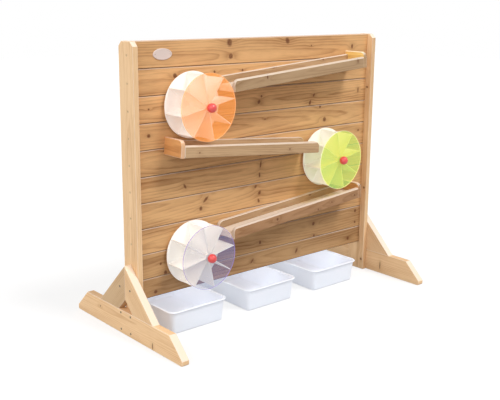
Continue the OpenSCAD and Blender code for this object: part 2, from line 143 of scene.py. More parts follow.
# How far the drift moves the pith across and in depth, and the ripple a ring, in metres
PITH_SWAY, PITH_DIP, RING_RIPPLE = 0.05, 0.035, 0.006
# Slow rise and quick fall of the dark line in a growth ring
LATE_RISE, LATE_FALL = 2.4, 5.0
# How much rings, fibre and patches darken pine, and how dark it is without them
LATE_SHADE, FIBRE_SHADE, PATCH_SHADE, EVEN_SHADE = 1.1, 0.7, 1.3, 0.14
# Ragged edge of a knot, in half widths of the knot, and the start and slope of its fade
KNOT_RAGGED, KNOT_END, KNOT_FADE = 1.1, 2.1, 1.5
# Grain that swells round a knot: reach along and across, and push on the rings, in half widths
SWELL_LONG, SWELL_WIDE, SWELL_PUSH = 5.0, 1.8, 1.3
# Tone of the wood round a knot, and how much of it shows
HALO_TONE, HALO_SHARE = 0.85, 0.32
# Painted shade, with some dirt in the joint, on the upper side of a groove between planks,
# and painted highlight on its lower side: height over which they fade, how far the shaded side
# reaches, in depths of the groove, and how much of that shade shows
GROOVE_FADE, GROOVE_REACH, GROOVE_DARK = 0.5 * MM, 1.15, 0.7
# How unevenly a tinted sheet hides what is behind it
SHEET_CLOUD = 0.02


# Settings

def srgb(*values):
    """A colour written as 0 to 255 on screen, as the linear values that shaders take."""
    shares = [value / 255 for value in values]
    return tuple(part / 12.92 if part <= 0.04045 else ((part + 0.055) / 1.055) ** 2.4
                 for part in shares)


def colour(name, description, *values):
    return bpy.props.FloatVectorProperty(
        name=name, description=description, subtype="COLOR", size=3, min=0, max=1,
        default=srgb(*values))


def length(name, description, millimetres):
    return bpy.props.FloatProperty(
        name=name, description=description, subtype="DISTANCE", unit="LENGTH",
        default=millimetres * MM, min=0)


def angle(name, description, degrees):
    return bpy.props.FloatProperty(
        name=name, description=description, subtype="ANGLE", unit="ROTATION",
        default=math.radians(degrees))


def share(name, description, value):
    return bpy.props.FloatProperty(
        name=name, description=description, subtype="FACTOR", default=value, min=0, max=1)


def number(name, description, value):
    return bpy.props.FloatProperty(name=name, description=description, default=value, min=0)


def direction(name, description, *parts):
    return bpy.props.FloatVectorProperty(
        name=name, description=description, subtype="DIRECTION", size=3, default=parts)


def settings_of(rows, looks):
    """A setting for each look of each row of a table, named by both."""
    return {"%s_%s" % (row, look): kind("%s %s" % (row.capitalize(), look), text % owner, *value)
            for row, (owner, *values) in rows.items()
            for (look, (kind, text)), value in zip(looks.items(), values)}


def values_of(settings, row, looks):
    """What is set for one row of such a table."""
    return [getattr(settings, "%s_%s" % (row, look)) for look in looks]


class TimberSettings(bpy.types.PropertyGroup):
    """Sizes and colours of the timber"""

    plank_pale: colour("Plank pale", "Earlywood of the planks", 229, 180, 125)
    plank_dark: colour("Plank dark", "Latewood lines of the planks", 162, 111, 66)
    frame_pale: colour("Frame pale", "Earlywood of posts, feet and braces", 239, 202, 157)
    frame_dark: colour("Frame dark", "Latewood lines of posts, feet and braces", 205, 159, 112)
    chute_pale: colour("Chute pale", "Earlywood of the chutes", 196, 162, 124)
    chute_dark: colour("Chute dark", "Latewood lines of the chutes", 154, 117, 80)
    # The chutes' end boards are warmer than the chutes: painted orange light, standing in for
    # light cast through the tinted discs
    end_pale: colour("Chute end pale", "Earlywood of the chutes' end boards", 236, 174, 111)
    end_dark: colour("Chute end dark", "Latewood lines of those boards", 192, 129, 74)
    knot: colour("Knot", "Heart of a knot", 108, 60, 34)
    # Pale colour on eased edges and on faces that look up: partly wear, partly painted highlight
    # where light falls
    worn: colour("Worn edge", "Sanded edges, paler than the faces", 250, 237, 222)
    # Painted shade, with some dirt in the joint, on the upper side of each groove, and painted
    # highlight on its lower side, which faces up to the light
    groove_painted_shade: colour("Groove shade", "Upper side of the grooves between planks", 82, 60, 46)
    groove_painted_highlight: colour("Groove light", "Lower side of the grooves between planks", 216, 196, 180)
    seam: length("Groove", "Depth of the grooves between planks", 3)
    plank_ring: length("Plank ring", "Growth ring width in the planks", 9)
    frame_ring: length("Frame ring", "Growth ring width in the other boards", 5)
    ease: length("Eased edge", "Rounding on the edges of the boards", 2)
    post_chamfer: length("Post chamfer", "Cut corners at the top of a post", 16)
    foot_cut: length("Foot cut", "Length of the sloped cut on a foot", 70)
    foot_nose: length("Foot nose", "Height left at the end of a foot", 18)
    nose_round: length("Nose rounding", "Radius at the end of a foot", 7)
    chute_low_round: length("Wall rounding", "Radius at the low end of a chute wall", 22)
    chute_end_round: length("End rounding", "Radius at the front of a chute end", 20)
    chute_bevel: length("Wall bevel", "Bevel on the outer top edge of a chute's front wall", 5)
    screw_head: length("Screw head", "Width of a countersunk screw head", 8)
    screw_shank: length("Screw shank", "Width of a screw below its head", 4)
    screw_sink: length("Screw sink", "Depth of a countersunk screw head", 3)


class WheelSettings(bpy.types.PropertyGroup):
    """Sizes and colours of the paddle wheels"""

    white: colour("White plastic", "Back discs, paddles and hubs", 254, 251, 247)
    # Painted glow: the white plastic gives off a little light, standing in for light that the thin
    # plastic gathers
    white_painted_glow: share("White glow", "Light that the thin white plastic gathers", 0.07)
    edge_hides: share("Edge hides", "How much the cut edge of a disc hides", 0.8)
    red: colour("Red knob", "Balls at the front of the axles", 232, 76, 74)
    steel: colour("Steel", "Bolts, nuts, washers and dark screws", 128, 116, 98)
    zinc: colour("Yellow zinc", "Screws in the posts", 214, 184, 142)
    paddle_turn: angle("Paddle turn", "Angle of the first paddle", 11.5)
    paddle_thick: length("Paddle", "Thickness of a paddle", 3)
    paddle_root: length("Paddle root", "How deep a paddle sits in its hub", 1)
    paddle_ease: length("Paddle edge", "Rounding on the edges of a paddle", 0.5)
    rim_round: length("Rim rounding", "Rounding on the rim of a disc", 0.8)
    hub_round: length("Hub rounding", "Rounding on the ends of a hub", 0.6)
    knob_wall: length("Knob wall", "Plastic in front of the bolt in a knob", 8)
    knob_ease: length("Knob edge", "Cut edge at the back of a knob", 0.6)


# What is set for a tinted disc
DISC_LOOKS = {
    "film": (colour, "Own colour of the %s"),
    "light": (colour, "Light that the %s passes"),
    "edge": (colour, "Cut edge of the %s"),
    # cast tints the painted glow of the white plastic behind the disc
    "cast": (colour, "Tint of the light in the white plastic by the %s"),
    "hides": (share, "How much the %s hides"),
    # glow is a painted glow in the disc's own colour
    "glow": (share, "Light that the %s gathers"),
}
DISCS = {
    "orange": ("top wheel's disc", (255, 160, 68), (255, 250, 250), (255, 196, 140),
               (255, 226, 204), (0.5,), (0.48,)),
    "green": ("middle wheel's disc", (168, 253, 150), (255, 212, 128), (242, 248, 215),
              (255, 246, 205), (0.38,), (0.62,)),
    "purple": ("bottom wheel's disc", (136, 168, 250), (251, 246, 232), (162, 142, 212),
               (255, 240, 225), (0.2,), (0.35,)),
}
WheelSettings.__annotations__.update(settings_of(DISCS, DISC_LOOKS))


class TraySettings(bpy.types.PropertyGroup):
    """Sizes and colour of the water trays"""

    plastic: colour("Tray plastic", "Moulded trays", 238, 242, 251)
    # Painted glow: the trays give off a little light, standing in for light through the thin
    # walls, which brightens their shaded insides
    glow: share("Tray glow", "Light that the thin walls gather", 0.15)
    wall: length("Wall", "Thickness of a tray wall", 2.5)
    rim: length("Rim", "How far the rim stands out", 7)
    rim_height: length("Rim height", "Height of the rolled rim", 5)
    lip_round: length("Lip rounding", "Radius between rim and inside", 2)
    taper: length("Taper", "How much a side leans out", 9)
    corner: length("Corner", "Radius of a corner at the base", 14)
    least_corner: length("Least corner", "Smallest radius of a corner", 1)
    base_round: length("Base rounding", "Radius between base and sides", 7)
    floor_round: length("Floor rounding", "Radius between floor and sides, inside", 8.4)


class PlateSettings(bpy.types.PropertyGroup):
    """Size and colour of the oval plate"""

    enamel: colour("Enamel", "Face of the oval plate", 224, 205, 196)
    rim: length("Plate rim", "Width of the rim", 2.5)
    step: length("Plate step", "How far the face lies behind the rim", 0.4)
    rounding: share("Plate rounding", "Rounded part of the plate's thickness", 0.6)


class StageSettings(bpy.types.PropertyGroup):
    """Camera, lamps and floor"""

    camera_place: bpy.props.FloatVectorProperty(
        name="Camera place", description="Where the camera stands", subtype="TRANSLATION",
        unit="LENGTH", size=3, default=(-2.0058, -2.2586, 1.1385))
    heading: angle("Heading", "Turn of the camera about the vertical", -40.904)
    dip: angle("Dip", "How far the camera looks down", 13.963)
    roll: angle("Roll", "Lean of the camera", 0.55)
    lens: number("Lens", "Focal length in millimetres", 58.668)
    sensor: number("Sensor", "Width of the camera's sensor in millimetres", 36)
    sky: number("Sky", "Strength of the even light", 0.43)
    floor: colour("Floor", "Pale studio floor", 162, 162, 162)
    floor_glow: share("Floor glow", "White added to the floor where it is seen", 0.66)
    floor_reach: length("Floor reach", "How far the floor runs each way", 12000)


# What is set for a lamp
LAMP_LOOKS = {
    "strength": (number, "Strength of the %s"),
    "from": (direction, "Way from the object to the %s"),
    "spread": (angle, "How wide the %s looks, for soft shadows"),
}
LAMPS = {
    "key": ("main lamp", (1.65,), (0.3, -0.75, 1.0), (20,)),
    "fill": ("side lamp", (1.7,), (-1.0, -0.4, 0.5), (80,)),
    "back": ("lamp behind", (0.6,), (-0.6, 1.0, 0.7), (60,)),
}
StageSettings.__annotations__.update(settings_of(LAMPS, LAMP_LOOKS))

GROUPS = {
    "board_timber": TimberSettings,
    "board_wheels": WheelSettings,
    "board_trays": TraySettings,
    "board_plate": PlateSettings,
    "board_stage": StageSettings,
}


# Shader maths

def sign(operation, swapped=False):
    """A method that adds a Math node; swapped puts the wire last, as in 1 - wire."""
    def method(wire, *others):
        terms = (*others, wire) if swapped else (wire, *others)
        return wire.math(operation, *terms)
    return method


class Wire:
    """A shader socket that takes part in sums: each sign adds a Math node."""

    def __init__(self, paint, socket):
        self.paint = paint
        self.socket = socket

    def math(self, operation, *terms, clamp=False):
        return self.paint.node(
            "ShaderNodeMath", {"operation": operation, "use_clamp": clamp},
            dict(enumerate(terms)))

    __add__, __radd__ = sign("ADD"), sign("ADD", swapped=True)
    __sub__, __rsub__ = sign("SUBTRACT"), sign("SUBTRACT", swapped=True)
    __mul__, __rmul__ = sign("MULTIPLY"), sign("MULTIPLY", swapped=True)
    __truediv__, __rtruediv__ = sign("DIVIDE"), sign("DIVIDE", swapped=True)
    __pow__, __rpow__ = sign("POWER"), sign("POWER", swapped=True)
    least, most = sign("MINIMUM"), sign("MAXIMUM")
    root, fraction, exp = sign("SQRT"), sign("FRACT"), sign("EXPONENT")

    def clamped(self):
        return self.math("ADD", self, 0.0, clamp=True)

    def between(self, low, high):
        """A value from 0 to 1, as a run from low to high."""
        return low + self * (high - low)


class Paint:
    """The node tree of a material or a world."""

    def __init__(self, owner):
        owner.use_nodes = True
        self.owner = owner
        self.tree = owner.node_tree
        self.tree.nodes.clear()

    def node(self, kind, settings=None, sockets=None, out=0):
        """Adds a node: its settings are set first, then its sockets' values or links."""
        node = self.tree.nodes.new(kind)
        for key, value in (settings or {}).items():
            setattr(node, key, value)
        for key, value in (sockets or {}).items():
            self.join(node.inputs[key], value)
        return Wire(self, node.outputs[out]) if node.outputs else None

    def join(self, socket, value):
        if isinstance(value, Wire):
            self.tree.links.new(value.socket, socket)
        elif socket.type == "RGBA" and len(value) == 3:
            socket.default_value = (*value, 1.0)
        else:
            socket.default_value = value

    def surface(self, sockets):
        """The main shader, with its sockets set."""
        return self.node("ShaderNodeBsdfPrincipled", None, sockets)

    def show(self, shader, output="ShaderNodeOutputMaterial"):
        """Sends a shader to the output, and gives back the finished material or world."""
        self.node(output, None, {"Surface": shader})
        return self.owner

    def blend(self, first, second, factor):
        """A mix of two shaders."""
        return self.node("ShaderNodeMixShader", None, {0: factor, 1: first, 2: second})

    def seen(self):
        """1 where the eye, a reflection or a clear sheet sees the surface."""
        camera, glossy, through = (
            self.node("ShaderNodeLightPath", out=name)
            for name in ("Is Camera Ray", "Is Glossy Ray", "Is Transmission Ray"))
        return camera.most(glossy).most(through)

    def place(self):
        return self.node("ShaderNodeTexCoord", out="Object")

    def dot(self, vector, way):
        return self.node("ShaderNodeVectorMath", {"operation": "DOT_PRODUCT"},
                         {0: vector, 1: way}, out="Value")

    def vector(self, x, y, z):
        return self.node("ShaderNodeCombineXYZ", None, {0: x, 1: y, 2: z})

    def scaled(self, vector, factors, offset=(0.0, 0.0, 0.0)):
        return self.node("ShaderNodeVectorMath", {"operation": "MULTIPLY_ADD"},
                         {0: vector, 1: factors, 2: offset})

    def noise(self, vector, scale=1.0, detail=2.0):
        return self.node("ShaderNodeTexNoise", None,
                         {"Vector": vector, "Scale": scale, "Detail": detail})

    def mix(self, first, second, factor):
        return self.node("ShaderNodeMix", {"data_type": "RGBA", "clamp_factor": True},
                         {0: factor, 6: first, 7: second}, out=2)

    def attribute(self, name):
        return self.node("ShaderNodeAttribute", {"attribute_name": name}, out="Fac")

    def bump(self, height, strength, distance):
        return self.node("ShaderNodeBump", None, {
            "Height": height, "Strength": strength, "Distance": distance})


# Finishes

def toned(tone, factor):
    """A colour made lighter or darker by a factor."""
    return tuple(min(1.0, part * factor) for part in tone)


def knot_marks(along, across, fleck, knot):
    """Where a knot shows, and where the grain swells round it, both from 0 to 1."""
    knot_along, knot_across, half, stretch, tilt = knot
    turn = math.radians(tilt)
    far, near = along - knot_along, across - knot_across
    thin = (far * math.cos(turn) - near * math.sin(turn)) * (1 / half)
    tall = (far * math.sin(turn) + near * math.cos(turn)) * (1 / (half * stretch))
    reach = (thin * thin + tall * tall).root() + (fleck - 0.5) * KNOT_RAGGED
    spread = (far * far * (1 / (SWELL_LONG * half) ** 2)
              + near * near * (1 / (SWELL_WIDE * half * stretch) ** 2))
    return (KNOT_END - reach * KNOT_FADE).clamped(), (spread * -1.0).exp()


def timber(name, settings, axes, tones, ring, pith, lean, knots=(), tone=1.0, seam=None):
    """Sawn pine. axes are the grain, the face's other way and its depth; pith is where the
    growth rings centre, across and in depth; lean tilts the pith along the board, so that
    the rings show as arches; seam is the lower and upper edge of a plank's face."""
    paint = Paint(bpy.data.materials.new(name))
    place = paint.place()
    along, across, deep = (paint.dot(place, axis) for axis in axes)
    grain = paint.vector(along, across, deep)
    chance = random.Random(name)
    shift = tuple(chance.uniform(-40, 40) for _ in range(3))
    drift, ripple, fibre, patch, fleck = (
        paint.noise(paint.scaled(grain, (long, wide, wide), shift), detail=detail)
        for long, wide, detail in PINE_NOISE)

    side = across - pith[0] + (drift - 0.5) * PITH_SWAY
    rise = deep - pith[1] + along * lean + (drift - 0.5) * PITH_DIP
    radius = (side * side + rise * rise).root() + (ripple - 0.5) * RING_RIPPLE
    heart = halo = None
    for knot in knots:
        core, swell = knot_marks(along, across, fleck, knot)
        radius = radius + swell * (SWELL_PUSH * knot[2])
        heart = core if heart is None else heart.most(core)
        halo = swell if halo is None else halo.most(swell)

    saw = (radius / ring).fraction()
    late = (saw ** LATE_RISE).least((1.0 - saw) * LATE_FALL)
    shade = (late * patch * LATE_SHADE + (fibre - 0.5) * FIBRE_SHADE
             + (patch - 0.5) * PATCH_SHADE + EVEN_SHADE)
    wood = paint.mix(toned(tones[0], tone), toned(tones[1], tone), shade.clamped())
    if heart is not None:
        wood = paint.mix(wood, toned(tones[1], tone * HALO_TONE), halo * HALO_SHARE)
        wood = paint.mix(wood, settings.knot, heart * fleck.between(0.55, 1.15))
    # Painted shade on the upper side of each groove, partly dirt in the joint, and painted
    # highlight on its lower side
    if seam is not None:
        under = ((seam[0] + settings.seam * GROOVE_REACH - across) * (1 / GROOVE_FADE)).clamped()
        over = ((across - seam[1] + settings.seam) * (1 / GROOVE_FADE)).clamped()
        wood = paint.mix(wood, settings.groove_painted_shade, under * GROOVE_DARK)
        wood = paint.mix(wood, settings.groove_painted_highlight, over * patch.between(0.25, 0.85))
    # Eased edges and faces that look up are painted pale: partly wear, partly painted highlight
    worn = paint.attribute("worn") * patch.between(0.35, 0.95)
    return paint.show(paint.surface({
        "Base Color": paint.mix(wood, settings.worn, worn.clamped()),
        "Roughness": fibre.between(0.52, 0.68) + late * 0.08,
        "Specular IOR Level": 0.3,
        "Normal": paint.bump(fibre * 0.5 - late * 0.35, 0.25, 0.4 * MM),
    }))


def either_side(chance, reach):
    """A number between minus and plus reach."""
    return chance.uniform(-reach, reach)


def either_way(chance, span):
    """A number within a span, or the same below zero."""
    return chance.choice((-1, 1)) * chance.uniform(*span)


def knots_of(node, axes):
    """The listed knots of a board, by their places along and across its grain."""
    spots = []
    for first, height, half, stretch, tilt in BOARD_KNOTS.get(node, ()):
        spot = Vector((0, first, height) if axes[2] == X else (first, 0, height)) * MM
        spots.append((axes[0].dot(spot), axes[1].dot(spot), half * MM, stretch, tilt))
    return spots


def moulded(name, tone, roughness, grain=900.0, gloss=0.0, specular=0.4, glow=0.0, painted_glow_tint=None):
    """Moulded plastic: a faint orange-peel skin and slight changes of tone and gloss. glow is a
    painted glow, which stands in for light that a thin pale wall gathers from its other side;
    the argument after it gives its colour."""
    paint = Paint(bpy.data.materials.new(name))
    place = paint.place()
    peel = paint.noise(place, scale=grain)
    cloud = paint.noise(place, scale=14.0)
    return paint.show(paint.surface({
        "Base Color": paint.mix(toned(tone, 0.965), toned(tone, 1.03), cloud),
        "Roughness": cloud.between(roughness - 0.06, roughness + 0.02) + peel * 0.05,
        "Specular IOR Level": specular,
        "Coat Weight": gloss,
        "Coat Roughness": 0.08,
        # A painted glow, standing in for light through the thin plastic
        "Emission Color": painted_glow_tint or tone,
        "Emission Strength": glow,
        "Normal": paint.bump(peel, 0.12, 0.2 * MM),
    }))


def tinted(name, film, passing, hiding, glow):
    """Clear tinted sheet: part of it shows its own colour, with a painted glow in that colour
    which stands in for light that the sheet gathers, and the rest lets tinted light through.
    Light crosses two faces of a sheet, so each has half of the effect. Faint wiping marks
    change its gloss."""
    paint = Paint(bpy.data.materials.new(name))
    place = paint.place()
    wipes = paint.noise(paint.scaled(place, (60.0, 60.0, 9.0)), detail=3.0)
    cloud = paint.noise(place, scale=9.0, detail=1.0)
    body = paint.surface({
        "Base Color": paint.mix(toned(film, 0.95), toned(film, 1.06), cloud),
        "Roughness": wipes.between(0.07, 0.16),
        "Specular IOR Level": 0.5,
        # A painted glow in the film's colour
        "Emission Color": film,
        "Emission Strength": glow,
        "Normal": paint.bump(wipes, 0.04, 0.1 * MM),
    })
    face_passes = tuple(math.sqrt(part) for part in passing)
    face_hides = 1 - math.sqrt(1 - hiding)
    clear = paint.node("ShaderNodeBsdfTransparent", None, {"Color": face_passes})
    hides = cloud.between(face_hides - SHEET_CLOUD, face_hides + SHEET_CLOUD)
    return paint.show(paint.blend(clear, body, hides))


def plated(name, tone):
    """Zinc plated steel: dull mottling and fine turning marks."""
    paint = Paint(bpy.data.materials.new(name))
    place = paint.place()
    mottle = paint.noise(place, scale=420.0, detail=3.0)
    marks = paint.noise(paint.scaled(place, (300.0, 2600.0, 300.0)), detail=1.0)
    return paint.show(paint.surface({
        "Base Color": paint.mix(toned(tone, 0.78), toned(tone, 1.12), mottle),
        "Metallic": 0.9,
        "Roughness": mottle.between(0.26, 0.46),
        "Normal": paint.bump(marks, 0.15, 0.1 * MM),
    }))


# Measures of the CAD

def points_of(node):
    return [vertex.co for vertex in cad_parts[node].data.vertices]


def ends(points):
    """Lowest and highest corner of the box round some points."""
    return [Vector([pick(p[i] for p in points) for i in range(3)]) for pick in (min, max)]


def corners(node):
    """Lowest and highest corner of a CAD node, and its middle."""
    low, high = (Vector(corner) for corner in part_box(node))
    return low, high, (low + high) / 2


def off_axle(point, centre):
    """How far a point lies from an axle, which runs along Y."""
    return math.hypot(point.x - centre.x, point.z - centre.z)


def spans(node, axes):
    """How far a CAD node reaches along each of some directions: pairs of low and high."""
    points = points_of(node)
    return [(min(axis.dot(p) for p in points), max(axis.dot(p) for p in points))
            for axis in axes]


def slope_of(node):
    """Direction along a sloping board: from its end face's lowest point to the other's."""
    points = points_of(node)
    left = min(points, key=lambda p: (round(p.x, 5), p.z))
    right = max(points, key=lambda p: (round(p.x, 5), -p.z))
    low = min(points, key=lambda p: (round(p.z, 5), p.x))
    end = right if low.x < (left.x + right.x) / 2 else left
    along = Vector((end.x - low.x, 0, end.z - low.z)).normalized()
    return -along if along.x < 0 else along


def solids_of(node):
    """The points of each separate solid in a CAD node."""
    mesh = bmesh.new()
    mesh.from_mesh(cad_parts[node].data)
    bmesh.ops.remove_doubles(mesh, verts=mesh.verts, dist=0.01 * MM)
    left = set(mesh.verts)
    groups = []
    while left:
        group, open_ends = [], [left.pop()]
        while open_ends:
            vertex = open_ends.pop()
            group.append(vertex.co.copy())
            for edge in vertex.link_edges:
                other = edge.other_vert(vertex)
                if other in left:
                    left.remove(other)
                    open_ends.append(other)
        groups.append(group)
    mesh.free()
    return sorted(groups, key=lambda group: tuple(round(part, 4) for part in min(
        (point.x, point.y, point.z) for point in group)))


def screw_heads(node):
    """Middle of each screw head in a CAD node, and the way its screw runs."""
    heads = []
    for points in solids_of(node):
        low, high = ends(points)
        middle, size = (low + high) / 2, high - low
        axis = max(range(3), key=lambda i: size[i])
        across = [i for i in range(3) if i != axis]
        widths = {end: max(sum((p[i] - middle[i]) ** 2 for i in across)
                           for p in points if abs(p[axis] - end) < NEAR)
                  for end in (low[axis], high[axis])}
        spot = middle.copy()
        spot[axis] = max(widths, key=widths.get)
        heads.append((spot, (middle - spot).normalized()))
    return heads


# Mesh helpers

def rectangle(left, right, low, high):
    return [Vector(p) for p in ((left, low), (right, low), (right, high), (left, high))]


def arc(start, sweep, steps):
    """Sine and cosine at even steps through an angle, with both its ends."""
    turns = [start + sweep * step / steps for step in range(steps + 1)]
    return [(math.sin(turn), math.cos(turn)) for turn in turns]


def quarter(steps):
    return arc(0.0, math.pi / 2, steps)


def around(sides):
    return arc(0.0, 2 * math.pi, sides)[:-1]


def fillet(points, radii, steps=8):
    """An outline with its corners rounded; a radius of zero leaves a corner as it is."""
    outline = []
    for i, (point, radius) in enumerate(zip(points, radii)):
        here = Vector(point)
        if radius <= 0:
            outline.append(here)
            continue
        before = (Vector(points[i - 1]) - here).normalized()
        after = (Vector(points[(i + 1) % len(points)]) - here).normalized()
        half = before.angle(after) / 2
        centre = here + (before + after).normalized() * (radius / math.sin(half))
        first = here + before * (radius / math.tan(half)) - centre
        last = here + after * (radius / math.tan(half)) - centre
        start = math.atan2(first.y, first.x)
        sweep = (math.atan2(last.y, last.x) - start + math.pi) % (2 * math.pi) - math.pi
        outline += [centre + Vector((cosine, sine)) * radius
                    for sine, cosine in arc(start, sweep, steps)]
    return outline


def inset(outline, depth):
    """A convex outline moved inward, edge by edge."""
    moved = []
    for i, here in enumerate(outline):
        into = (here - outline[i - 1]).normalized()
        away = (outline[(i + 1) % len(outline)] - here).normalized()
        normal = Vector((-into.y - away.y, into.x + away.x))
        moved.append(here + normal * (depth / (1 + into.dot(away))))
    return moved


def oval(centre, wide, tall, y, sides):
    """A ring of points about a line along Y."""
    return [Vector((centre.x + wide * cosine, y, centre.z + tall * sine))
            for sine, cosine in around(sides)]


def wrap(mesh, rings, loop=False):
    """Faces through rings of points, band by band. A loop joins the last ring to the first,
    and otherwise both ends are capped."""
    rows = [[mesh.verts.new(point) for point in ring] for ring in rings]
    bands = []
    for first, second in zip(rows, rows[1:] + rows[:1] if loop else rows[1:]):
        sides = zip(first, first[1:] + first[:1], second[1:] + second[:1], second)
        bands.append([mesh.faces.new(side) for side in sides])
    if not loop:
        mesh.faces.new(list(reversed(rows[0])))
        mesh.faces.new(rows[-1])
    return bands


def skin(name, rings, loop=False, worn=(), sharp=CREASE):
    """A closed object through rings of points. The listed bands are marked pale: partly wear,
    partly painted highlight.
    """
    mesh = bmesh.new()
    mark = mesh.faces.layers.float.new("worn")
    bands = wrap(mesh, rings, loop)
    for band in worn:
        for face in bands[band]:
            face[mark] = 1.0
    bmesh.ops.recalc_face_normals(mesh, faces=mesh.faces)
    for face in mesh.faces:
        face.smooth = True
    return placed(name, mesh, sharp)


def placed(name, mesh, sharp=CREASE):
    """Turns working geometry into an object of the scene."""
    data = bpy.data.meshes.new(name)
    mesh.to_mesh(data)
    mesh.free()
    data.set_sharp_from_angle(angle=math.radians(sharp))
    piece = bpy.data.objects.new(name, data)
    bpy.context.scene.collection.objects.link(piece)
    return piece


def remove(piece):
    """Takes an object and its mesh out of the file."""
    data = piece.data
    bpy.data.objects.remove(piece)
    bpy.data.meshes.remove(data)


def joined(name, pieces, sharp=CREASE):
    """One object from several."""
    mesh = bmesh.new()
    for piece in pieces:
        mesh.from_mesh(piece.data)
        remove(piece)
    return placed(name, mesh, sharp)


def board(name, outline, origin, right, up, out, thickness, ease, steps=3):
    """A board cut to a convex outline, with the edges of both faces eased."""
    levels = [((1 - sine) * ease, (1 - cosine) * ease) for sine, cosine in quarter(steps)]
    levels += [(cut, thickness - rise) for cut, rise in reversed(levels)]
    rings = [[origin + right * p.x + up * p.y + out * rise for p in inset(outline, cut)]
             for cut, rise in levels]
    # The eased bands are marked pale: wear and painted highlight on the edges
    return skin(name, rings, worn=[*range(steps), *range(steps + 1, 2 * steps + 1)])


def turned(name, profile, centre, sides=HUB_SIDES, sharp=CREASE, loop=True):
    """A turned piece about a line along Y: the profile is a run of (radius, y). A loop closes
    it on itself, and otherwise its first and last rings are capped."""
    rings = [oval(centre, radius, radius, y, sides) for radius, y in profile]
    return skin(name, rings, loop=loop, sharp=sharp)


def rounded_ring(inner, outer, near, far, bend, steps=3):
    """Profile of a flat ring with rounded outer edges, between two places along Y."""
    start = outer - bend
    front = [(start + bend * sine, near + bend - bend * cosine) for sine, cosine in quarter(steps)]
    rear = [(start + bend * cosine, far - bend + bend * sine) for sine, cosine in quarter(steps)]
    return [(inner, near), *front, *rear, (inner, far)]


def sink(piece, node, screws, sizes):
    """Countersinks a board for each screw whose head lies in its face."""
    low, high, _ = corners(node)
    inside = [(spot, way) for spot, way in screws
              if all(low[i] - HEAD_GAP < spot[i] < high[i] + HEAD_GAP for i in range(3))]
    if not inside:
        return
    head = sizes.screw_head / 2 + HOLE_ROOM
    shank = sizes.screw_shank / 2 + HOLE_ROOM
    levels = ((head, -HOLE_START), (head, HOLE_RIM), (shank, sizes.screw_sink + HOLE_UNDER),
              (shank, HOLE_DEPTH * sizes.screw_sink))
    cutters = bmesh.new()
    for spot, way in inside:
        side = way.orthogonal().normalized()
        other = way.cross(side)
        wrap(cutters, [[spot + way * depth + (side * cosine + other * sine) * radius
                        for sine, cosine in around(HOLE_SIDES)] for radius, depth in levels])
    bmesh.ops.recalc_face_normals(cutters, faces=cutters.faces)
    tool = placed(piece.name + "_cutter", cutters)
    cut = piece.modifiers.new("countersinks", "BOOLEAN")
    cut.operation = "DIFFERENCE"
    cut.solver = "EXACT"
    cut.object = tool
    graph = bpy.context.evaluated_depsgraph_get()
    data = bpy.data.meshes.new_from_object(piece.evaluated_get(graph))
    piece.modifiers.clear()
    piece.data = data
    data.set_sharp_from_angle(angle=math.radians(CREASE))
    remove(tool)


def bevelled(piece, point, normal):
    """Takes off what stands beyond a plane, and closes the cut."""
    mesh = bmesh.new()
    mesh.from_mesh(piece.data)
    cut = bmesh.ops.bisect_plane(
        mesh, geom=[*mesh.verts, *mesh.edges, *mesh.faces], dist=0.001 * MM,
        plane_co=point, plane_no=normal, clear_outer=True)
    rim = [item for item in cut["geom_cut"] if isinstance(item, bmesh.types.BMEdge)]
    bmesh.ops.contextual_create(mesh, geom=rim)
    mesh.to_mesh(piece.data)
    mesh.free()
    piece.data.set_sharp_from_angle(angle=math.radians(CREASE))


def coat(item, material):
    """Gives a piece or a CAD node its finish."""
    item.data.materials.clear()
    item.data.materials.append(material)


def coat_some(piece, material, chosen):
    """Gives some faces of a piece a second finish."""
    piece.data.materials.append(material)
    for face in piece.data.polygons:
        if chosen(face):
            face.material_index = 1


def fit(piece, node, body, material):
    """Gives a piece its finish and sets it in place of a CAD node."""
    coat(piece, material)
    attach(piece, body)
    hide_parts(node)
    return piece


def pale_marks_of_wear_and_light(piece, way, least, most):
    """The pale marks, of wear and painted highlight, of the faces whose cosine with a direction is
    between two values.
    """
    marks = piece.data.attributes["worn"].data
    return [marks[face.index] for face in piece.data.polygons
            if least < face.normal.dot(way) < most]


def paled_by_wear_or_light(piece, way, amount, least=FACING, most=1.1):
    """Marks the faces that look a certain way as pale: wear, or a painted highlight where they
    face the light.
    """
    for mark in pale_marks_of_wear_and_light(piece, way, least, most):
        mark.value = max(mark.value, amount)


def unpaled(piece, way, least):
    """Takes the pale mark, of wear and painted highlight, off the faces that look a certain way.
    """
    for mark in pale_marks_of_wear_and_light(piece, way, least, 1.1):
        mark.value = 0.0


def fainter(piece, share_left):
    """Makes the pale marks, of wear and painted highlight, on a piece fainter."""
    for mark in piece.data.attributes["worn"].data:
        mark.value *= share_left


# Operators

class BOARD_OT_planks(bpy.types.Operator):
    """Gives each plank its own grain, tone and knots"""

    bl_idname = "board.planks"
    bl_label = "Planks"

    def execute(self, context):
        sizes = context.scene.board_timber
        tones = (sizes.plank_pale, sizes.plank_dark)
        above = None
        for k, tone in enumerate(PLANK_TONES, 1):
            node = "plank_%02d" % k
            low, high, middle = corners(node)
            chance = random.Random(node)
            top = high.z if above is None else above
            above = low.z
            knots = [(x * MM, z * MM, half * MM, stretch, tilt)
                     for x, z, half, stretch, tilt in PLANK_KNOTS if low.z < z * MM < top]
            pith = (middle.z + either_side(chance, PLANK_ACROSS),
                    high.y + chance.uniform(*PLANK_DEPTH))
            lean = either_way(chance, PLANK_LEAN)
            coat(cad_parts[node], timber(
                node, sizes, (X, Z, Y), tones, sizes.plank_ring, pith, lean, knots, tone,
                (low.z, top)))
        return {"FINISHED"}


